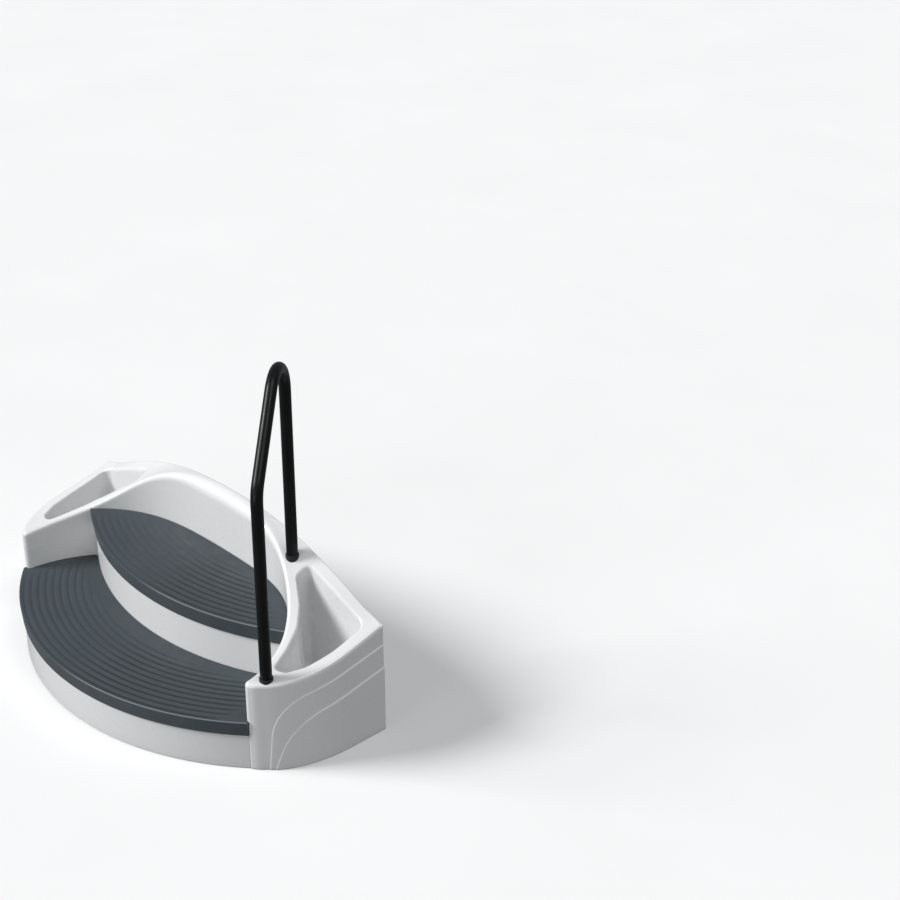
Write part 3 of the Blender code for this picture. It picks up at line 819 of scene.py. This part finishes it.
def make_tread(name, node, centre_y, radii, heights, sweep, outline, edge_gap, least):
    """A grooved slab with a turned-down nosing, swept in an arc and trimmed to its outline."""
    front_r, nose_r, skirt_r = radii
    top, nose = heights
    under = top - TREAD_SLAB
    ease = NOSE_EASE
    brow = [
        (front_r - ease + ease * sin(angle), top - ease + ease * cos(angle))
        for angle in spaced(0, pi / 2, 5)
    ]
    face = [(front_r - ease * 0.1, top - 2.2 * ease)]
    face += [(nose_r + 0.0006, nose + 0.004), (nose_r - 0.0008, nose)]
    rim = [(TREAD_INNER_R, under), (skirt_r, under), (skirt_r, nose)] + face[::-1] + brow[::-1]
    rows = []
    for radius in tread_rows(front_r):
        rows.append((radius, float(1 - smooth_step(groove_offset(radius, front_r)))))
    sections = []
    for step in range(TREAD_STEPS + 1):
        angle = sweep * (1 - 2 * step / TREAD_STEPS)
        section = []
        for radius, height in rim:
            section.append((radius * sin(angle), centre_y - radius * cos(angle), height))
        for radius, groove in rows:
            x, y = radius * sin(angle), centre_y - radius * cos(angle)
            share = groove * float(smooth_step((edge_gap(x, y) - GROOVE_END_GAP) / GROOVE_FADE))
            section.append((x, y, top - GROOVE_DEPTH * share))
        sections.append(section)
    slab = from_bmesh(name, loft_bmesh(sections), SLATE)
    prism = [[(x, y, z) for x, y in outline] for z in (nose - 0.05, top + 0.05)]
    cut_by(slab, from_bmesh(name + "_trim", loft_bmesh(prism), SLATE), "INTERSECT")
    mark_ridges(slab.data, centre_y, front_r, top, least)
    smoothed(slab.data, 38)
    finish_piece(slab, "steps", node)


def mark_ridges(mesh, centre_y, front_r, top, least):
    """Keeps on each vertex masks for painted light: painted shade by how deep in a groove it is,
    painted highlights by how near a ridge's or the nosing's edge it is, and a painted lightening
    of the nosing's face.

    All three grow towards the handrail side, where the light catches the ridges; grooves and
    ridges keep a least share elsewhere.
    """
    groove_painted_shade, ridge_painted_highlights, nosing_painted_highlights = [
        mesh.attributes.new(name, "FLOAT", "POINT") for name in ("groove", "painted_highlight_and_wear", "brow")
    ]
    for i, vert in enumerate(mesh.vertices):
        x, y = vert.co.x, vert.co.y - REAR_Y
        # painted light: the marks grow towards the handrail side, where the light catches the
        # ridges
        painted_light_side = float(smooth_step((x - PAINTED_LIGHT_START) / PAINTED_LIGHT_BLEND))
        share = least + (1 - least) * painted_light_side
        deep = max(0.0, (top - vert.co.z) / GROOVE_DEPTH)
        radius = hypot(x, centre_y - y)
        near_edge = max(0.0, 1 - abs(radius - front_r + 0.5 * NOSE_EASE) / NOSE_EASE)
        if deep <= 1.05 and near_edge == 0:
            near_ridge = max(0.0, 1 - abs(groove_offset(radius, front_r) - 1.0) / RIDGE_BAND)
            # painted shade deep in the grooves and painted highlights at the ridges' edges
            groove_painted_shade.data[i].value = deep * share
            ridge_painted_highlights.data[i].value = near_ridge * min(1.0, 4 * deep) * share
        elif top - vert.co.z < 1.5 * NOSE_EASE:
            # a painted highlight along the nosing's top edge
            nosing_painted_highlights.data[i].value = near_edge * painted_light_side
        elif vert.co.z < top - 2 * NOSE_EASE:
            # painted light lightens the nosing's face
            ridge_painted_highlights.data[i].value = NOSING_FACE_PAINTED_LIGHT


def mirrored(right):
    """A whole outline from its right half, whose last point is on the middle line."""
    return right + [(-x, y) for x, y in reversed(right[:-1])]


def lower_outline():
    """The lower tread's trim: open in front, then along the nose, the wing and the upper riser."""
    right = [(0.9, -0.9), (LOWER_TREAD_END, -0.6)]
    reach = NOSE_R + 0.0015
    start = 2 * pi - acos((LOWER_TREAD_END - NOSE_CENTRE[0]) / reach)
    right += nose_arc(reach, start, radians(188), 16)
    corner_x, corner_y = LOWER_TREAD_CORNER
    right += [(wing_face_x(y) - TREAD_CLEARANCE, y) for y in spaced(WING_TIP_Y, corner_y, 40)]
    radius = UPPER_RISER_R + TREAD_CLEARANCE
    right += [(x, arc_y(UPPER_CENTRE_Y, radius, x)) for x in spaced(corner_x, 0, 60)]
    return mirrored(right)


def upper_outline():
    """The upper tread's trim: open in front, then along the back wall."""
    right = [(0.7, -0.6), (0.7, arc_y(UPPER_CENTRE_Y, UPPER_TREAD_R, UPPER_TREAD_END))]
    right += [(x, back_wall_y(x) - TREAD_CLEARANCE) for x in spaced(UPPER_TREAD_REAR_END, 0, 80)]
    return mirrored(right)


def lower_gap(x, y):
    """Distance from a point of the lower tread to the wings and the upper riser."""
    wing = wing_face_x(y) - abs(x)
    riser = hypot(x, UPPER_CENTRE_Y - y) - UPPER_RISER_R
    return min(wing, riser)


def upper_gap(x, y):
    """Distance from a point of the upper tread to the back wall."""
    slope = 2 * BACK_WALL[1] * abs(x) + 4 * BACK_WALL[2] * abs(x) ** 3
    return (back_wall_y(x) - y) / hypot(1, slope)


def make_treads():
    radii = (LOWER_TREAD_R, LOWER_NOSE_R, LOWER_RISER_R + 0.001)
    arc = (LOWER_CENTRE_Y, radii, (LOWER_TOP, LOWER_NOSE), radians(52))
    make_tread("lower_step_tread", "lower_tread", *arc, lower_outline(), lower_gap, 0.4)
    radii = (UPPER_TREAD_R, UPPER_NOSE_R, UPPER_RISER_R + 0.0014)
    arc = (UPPER_CENTRE_Y, radii, (UPPER_TOP, UPPER_NOSE), radians(35))
    make_tread("upper_step_tread", "upper_tread", *arc, upper_outline(), upper_gap, 0.15)


# ---- risers ----
def make_riser(name, node, centre_y, radius, reach):
    """A curved kick panel with an inward flange along its top edge and eased edges."""
    thickness = 0.006
    fillet = 0.004
    flange = 0.025
    count = 160
    ease = 0.0015
    low, high = [corner.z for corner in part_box(node)]
    under = high - thickness
    sections = []
    for step in range(count + 1):
        share = 1 - 2 * step / count
        outside, inside, behind = [
            Vector((half * share, arc_y(centre_y, radius - deep, half * share)))
            for half, deep in zip(reach, (0, thickness, flange))
        ]
        inward = (inside - outside).normalized()
        section = [(outside + inward * ease, low), (inside - inward * ease, low)]
        section += [(inside, low + ease), (inside, under - fillet)]
        section += [(inside + inward * fillet, under), (behind, under), (behind, high)]
        section += [(outside + inward * 2 * ease, high)]
        section += [(outside + inward * 0.6 * ease, high - 0.6 * ease), (outside, high - 2 * ease)]
        section += [(outside, low + ease)]
        sections.append([(p.x, p.y, z) for p, z in section])
    riser = from_bmesh(name, loft_bmesh(sections), WHITE, 50)
    finish_piece(riser, "steps", node)


def make_risers():
    make_riser("lower_step_riser", "lower_riser", LOWER_CENTRE_Y, LOWER_RISER_R, LOWER_RISER_REACH)
    make_riser("upper_step_riser", "upper_riser", UPPER_CENTRE_Y, UPPER_RISER_R, UPPER_RISER_REACH)


# ---- handrail ----
def foot_height(place):
    x, y = RAIL_FOOT[place]
    return float(rim_height(x, y))


def rail_path():
    """The tube's centre line in its plane, as (distance from the front foot, height)."""
    front, rear = RAIL_FOOT
    span = hypot(rear[0] - front[0], rear[1] - front[1])
    meeting = RAIL_KNEE + tan(RAIL_LEAN) * span
    corners = [
        ((0, foot_height(0) - RAIL_SOCKET), 0),
        ((0, RAIL_KNEE), RAIL_KNEE_R),
        ((span, meeting), RAIL_TOP_R),
        ((span, foot_height(1) - RAIL_SOCKET), 0),
    ]
    return rounded(corners, closed=False, steps=32)


def make_handrail():
    """The bent tube, joined from loops that run along its outside and back along its bore."""
    path = [Vector(point) for point in rail_path()]
    front, rear = (Vector(foot) for foot in RAIL_FOOT)
    along = (rear - front).normalized()
    aside = Vector((-along.y, along.x, 0))
    sides = 56
    sections = []
    for k in range(sides):
        turn = 2 * pi * k / sides
        loop = []
        for radius in (TUBE_R, TUBE_BORE_R):
            line = []
            for i, here in enumerate(path):
                before = (here - path[i - 1] if i else path[1] - here).normalized()
                after = (path[i + 1] - here).normalized() if i + 1 < len(path) else before
                normal = (before + after).normalized().orthogonal()
                spot = here + normal * (radius * cos(turn) / max(0.5, (before + after).length / 2))
                flat = front + along * spot.x
                line.append(Vector((flat.x, flat.y, spot.y)) + aside * (radius * sin(turn)))
            loop += line if radius == TUBE_R else line[::-1]
        sections.append(loop)
    tube = from_bmesh("handrail", loft_bmesh(sections, closed=True), BLACK)
    finish_piece(tube, "handrail", "handrail_tube")


def make_rail_feet():
    """At each foot: the tube's plug, the steel socket and the rubber collar around the tube."""
    rim = RAIL_SOCKET - SOCKET_DROP
    lip = RAIL_SOCKET + COLLAR_RISE
    low = -RAIL_REST - GAP
    base = low - 0.004
    plug = [(0, -RAIL_REST), (TUBE_R, -RAIL_REST), (TUBE_R, -GAP), (TUBE_BORE_R - GAP, -GAP)]
    plug = eased(plug, 0.0008) + [(TUBE_BORE_R - 0.0008, 0.017), (TUBE_BORE_R - 0.0028, 0.018)]
    plug += [(0, 0.018)]
    socket = [(0, base), (SOCKET_R, base), (SOCKET_R, rim), (SOCKET_BORE_R, rim)]
    socket = eased(socket + [(SOCKET_BORE_R, low), (0, low)], 0.0007)
    collar = [(SOCKET_BORE_R, rim + GAP), (COLLAR_R, rim + GAP), (COLLAR_R, lip - 0.0016)]
    collar += [(0.0238, lip - 0.0005), (0.0231, lip), (0.0224, lip - 0.0004)]
    collar += [(0.0219, lip - 0.0014)]
    for place, (name, (x, y)) in enumerate(zip(("front", "rear"), RAIL_FOOT)):
        at = (x, y, foot_height(place) - RAIL_SOCKET)
        for part, profile, look, body, slot in (
            ("plug", plug, RUBBER, "handrail", "black_rubber"),
            ("socket", socket, STEEL, "steps", "zinc_steel"),
            ("collar", collar, RUBBER, "steps", "black_rubber"),
        ):
            node = f"handrail_{part}_{name}"
            turned_piece(f"tube_{part}_{name}", profile, at, look, body, node)


# ---- planter drain plugs ----
def make_drain_plugs():
    """A rubber bung with a rolled flange, a waisted grip and two sealing beads."""
    shaft = DRAIN_R - GAP - 0.0006
    profile = [(0, -0.011), (shaft - 0.001, -0.011), (shaft, -0.0098)]
    for bead in (-0.008, -0.0045):
        profile += [(shaft, bead), (shaft + 0.0002, bead + 0.0006), (shaft, bead + 0.0012)]
    profile += [(shaft, GAP), (0.0165, GAP), (0.017, 0.001), (0.0168, 0.0026), (0.0158, 0.0031)]
    profile += [(0.008, 0.004), (0.0052, 0.0056), (0.0044, 0.008), (0.0052, 0.0108)]
    profile += [(0.006, 0.0124), (0.0054, 0.0137), (0.003, 0.014), (0, 0.014)]
    for side, sign in (("right", 1), ("left", -1)):
        at = (sign * DRAIN_AT[0], DRAIN_AT[1], POCKET_FLOOR)
        node = f"planter_drain_plug_{side}"
        body = f"drain_plug_{side}"
        turned_piece(f"drain_bung_{side}", profile, at, RUBBER, body, node, 50)


# ---- back panel ----
def make_back():
    """The rear panel keeps its CAD shape with eased edges; each screw's domed head has a recess."""
    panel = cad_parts["back_panel"]
    panel.data.materials.clear()
    panel.data.materials.append(PANEL_WHITE)
    bevel = panel.modifiers.new("eased", "BEVEL")
    bevel.width = 0.0007
    bevel.segments = 2
    bevel.limit_method = "ANGLE"
    bevel.angle_limit = radians(50)
    bevel.use_clamp_overlap = True
    profile = [(0, -0.0123), (0.0012, -0.0113), (0.002, -0.01), (0.002, -0.0027)]
    profile += [(0.006, -0.0024), (0.0069, -0.0016), (0.0068, -0.0008), (0.0056, -0.0003)]
    profile += [(0.003, 0), (0, 0)]
    recess_deep = 0.0011
    recess_reach = 0.0035
    for number in range(1, 7):
        node = f"back_panel_screw_{number}"
        low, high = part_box(node)
        at = ((low.x + high.x) / 2, high.y - REAR_Y, (low.z + high.z) / 2)
        made = from_bmesh(f"panel_screw_{number}", turned_bmesh(profile, at, 48, "Y"), STEEL)
        turn = radians(17 * number)
        # the two bars of the cross differ in width, so that none of their faces coincide
        for quarter, half_width in ((0, 0.00071), (pi / 2, 0.0007)):
            along = Vector((cos(turn + quarter), 0, sin(turn + quarter)))
            across = Vector((-along.z, 0, along.x)) * half_width
            ends = Vector(at) + along * recess_reach, Vector(at) - along * recess_reach
            ring = [ends[0] + across, ends[1] + across, ends[1] - across, ends[0] - across]
            bars = [[p + Vector((0, deep, 0)) for p in ring] for deep in (-recess_deep, 0.002)]
            cut_by(made, from_bmesh("slot_cutter", loft_bmesh(bars), STEEL), "DIFFERENCE")
        smoothed(made.data, 35)
        finish_piece(made, "steps", node)


# ---- timber frame ----
def make_battens():
    """Sawn battens with eased arrises, each a little out of true on its faces."""
    kinds = ("_beam", "_post_", "base_rail")
    rng = np.random.default_rng(7)
    for node in sorted(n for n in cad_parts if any(kind in n for kind in kinds)):
        low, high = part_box(node)
        size = high - low
        along = max(range(3), key=lambda axis: size[axis])
        bm = bmesh.new()
        bmesh.ops.create_cube(bm, size=1)
        for vert in bm.verts:
            spot = Vector([low[i] + size[i] * (vert.co[i] + 0.5) for i in range(3)])
            vert.co = spot - Vector((0, REAR_Y, 0))
        eased_by = {"offset": 0.0022, "segments": 3, "profile": 0.5, "affect": "EDGES"}
        bmesh.ops.bevel(bm, geom=list(bm.edges), **eased_by)
        lengths = [(e, abs((e.verts[0].co - e.verts[1].co)[along])) for e in bm.edges]
        lengthwise = [e for e, length in lengths if length > size[along] * 0.5]
        cuts = max(2, int(size[along] / 0.03))
        bmesh.ops.subdivide_edges(bm, edges=lengthwise, cuts=cuts, use_grid_fill=True)
        wave = rng.uniform(0, 2 * pi, 2)
        for vert in bm.verts:
            where = vert.co[along]
            for k, axis in enumerate(a for a in range(3) if a != along):
                middle = (low[axis] + high[axis]) / 2 - (REAR_Y if axis == 1 else 0)
                shrink = 0.0002 + 0.00015 * sin(where * 21 + wave[k])
                vert.co[axis] -= shrink if vert.co[axis] > middle else -shrink
        made = from_bmesh("sawn_" + node, bm, TIMBER[along])
        finish_piece(made, "steps", node)


# ---- levelling feet ----
THREAD_PITCH = 0.0015
STUD_R = 0.005


def around(at, row):
    """A row of (radius, height) spread evenly about an upright axis."""
    x, y, z = at
    turns = [2 * pi * k / len(row) for k in range(len(row))]
    return [(x + r * cos(t), y + r * sin(t), z + height) for (r, height), t in zip(row, turns)]


def stud_bmesh(at, top):
    """A stud with a rounded foot and a helical thread."""
    sides = 36
    foot = [(0.0, 0.0063), (0.0058, 0.0063), (0.007, 0.0072), (0.007, 0.0088), (0.0055, 0.0097)]
    rows = [[spot] * sides for spot in foot]
    start = 0.01
    length = top - 0.0012 - start
    count = int(length / (THREAD_PITCH / 8))
    for row in range(count + 1):
        height = start + length * row / count
        ring = []
        for k in range(sides):
            phase = ((height - start) / THREAD_PITCH - k / sides) % 1.0
            ring.append((STUD_R - 0.0008 * abs(2 * phase - 1) ** 1.2, height))
        rows.append(ring)
    rows.append([(STUD_R - 0.0014, top)] * sides)
    rows.append([(0.0, top)] * sides)
    bm = bmesh.new()
    rings = [[bm.verts.new(spot) for spot in around(at, row)] for row in rows]
    for ring, after in zip(rings, rings[1:]):
        for k in range(sides):
            j = (k + 1) % sides
            bm.faces.new((ring[k], ring[j], after[j], after[k]))
    bmesh.ops.remove_doubles(bm, verts=bm.verts, dist=1e-6)
    return bm


def hexagon_bmesh(at, across, low, high):
    """A six-sided collar with its corners turned down."""
    flats = [across / cos((2 * pi * k / 48 + pi / 6) % (pi / 3) - pi / 6) for k in range(48)]
    sections = []
    for height, share in ((low, 0.9), (low + 0.0008, 1.0), (high - 0.0008, 1.0), (high, 0.9)):
        most = across * 1.12 * share / 0.97
        sections.append(around(at, [(min(flat, most), height) for flat in flats]))
    return loft_bmesh(sections)


def make_feet():
    """Each foot: a ribbed nylon pad, its threaded stud and the tee nut in the rail."""
    pad = [(0, 0), (0.006, 0)]
    for groove in (0.008, 0.012, 0.016):
        pad += [(groove, 0), (groove + 0.0004, 0.0008)]
        pad += [(groove + 0.0016, 0.0008), (groove + 0.002, 0)]
    pad += [(0.0228, 0), (0.024, 0.0006), (0.0245, 0.0018), (0.0245, 0.004), (0.0238, 0.005)]
    pad += [(0.013, 0.0084), (0.0118, 0.009), (0.008, 0.009), (0.0075, 0.0086), (0.0075, 0.006)]
    pad += [(0, 0.006)]
    for corner in ("front_right", "front_left", "rear_right", "rear_left"):
        node = f"foot_pad_{corner}"
        low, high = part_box(node)
        at = ((low.x + high.x) / 2, (low.y + high.y) / 2 - REAR_Y, 0)
        turned_piece(f"nylon_pad_{corner}", pad, at, NYLON, f"pad_{corner}", node)
        node = f"foot_stud_{corner}"
        thread = stud_bmesh(at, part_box(node)[1].z)
        stud = from_bmesh(f"levelling_stud_{corner}", thread, STEEL)
        head = from_bmesh("stud_hexagon", hexagon_bmesh(at, 0.0086, 0.011, 0.017), STEEL)
        cut_by(stud, head, "UNION")
        smoothed(stud.data, 30)
        finish_piece(stud, f"stud_{corner}", node)
        node = f"tee_nut_{corner}"
        base, crown = (spot.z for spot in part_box(node))
        nut = [(0.0056, base), (0.0164, base), (0.0168, base + 0.0005), (0.0166, base + 0.0018)]
        nut += [(0.01, base + 0.0018), (0.0088, base + 0.0032), (0.0088, crown - 0.0006)]
        nut += [(0.0082, crown), (0.0056, crown)]
        turned_piece(f"rail_tee_nut_{corner}", nut, at, STEEL, "steps", node)


# ---- stage ----
CAMERA_AT = (5.0367, -3.2308, 4.0)
CAMERA_AZIMUTH = radians(46.763)
CAMERA_DOWN = radians(27.453)
CAMERA_LENS = 75.24
SUNS = (  # name, direction, strength and spread in degrees
    ("key", (0.5, 0.557, -0.55), 2.8, 22),
    ("fill", (-0.35, -0.1, -0.93), 0.85, 30),
    ("front", (-0.1, 1.0, -0.12), 0.6, 30),
)
SKY_COLOUR = (0.95, 0.97, 1.0, 1)
SKY_STRENGTH = 0.25


def make_camera():
    data = bpy.data.cameras.new("camera")
    data.sensor_width = 36
    data.lens = CAMERA_LENS
    data.clip_end = 100
    camera = placed("camera", data)
    camera.location = CAMERA_AT
    camera.rotation_euler = (pi / 2 - CAMERA_DOWN, 0, CAMERA_AZIMUTH)
    bpy.context.scene.camera = camera


def sun_light(name, towards, strength, spread):
    """Even light from a direction, as a large softbox far away gives."""
    data = bpy.data.lights.new(name, "SUN")
    data.energy = strength
    data.angle = radians(spread)
    placed(name, data).rotation_euler = Vector(towards).to_track_quat("-Z", "Y").to_euler()


def make_stage():
    bm = bmesh.new()
    bmesh.ops.create_grid(bm, x_segments=1, y_segments=1, size=40)
    look = Look("pale_floor_look")
    look.colour(look.ramp(look.noise(1.2, 2.0), (0.3, 0.89), (0.7, 0.91)))
    look.shader.inputs["Roughness"].default_value = 0.9
    floor = placed("floor", mesh_of("floor", bm))
    floor.data.materials.append(look.material)
    floor.visible_diffuse = False  # it shows, but throws no light back at the steps
    floor.visible_glossy = False
    for sun in SUNS:
        sun_light(*sun)
    world = bpy.data.worlds.new("studio")
    world.use_nodes = True
    background = world.node_tree.nodes["Background"]
    background.inputs["Color"].default_value = SKY_COLOUR
    background.inputs["Strength"].default_value = SKY_STRENGTH
    bpy.context.scene.world = world
    bpy.context.scene.view_settings.view_transform = "Standard"


make_camera()
make_stage()
make_body_moulding()
make_treads()
make_risers()
make_handrail()
make_rail_feet()
make_drain_plugs()
make_back()
make_battens()
make_feet()
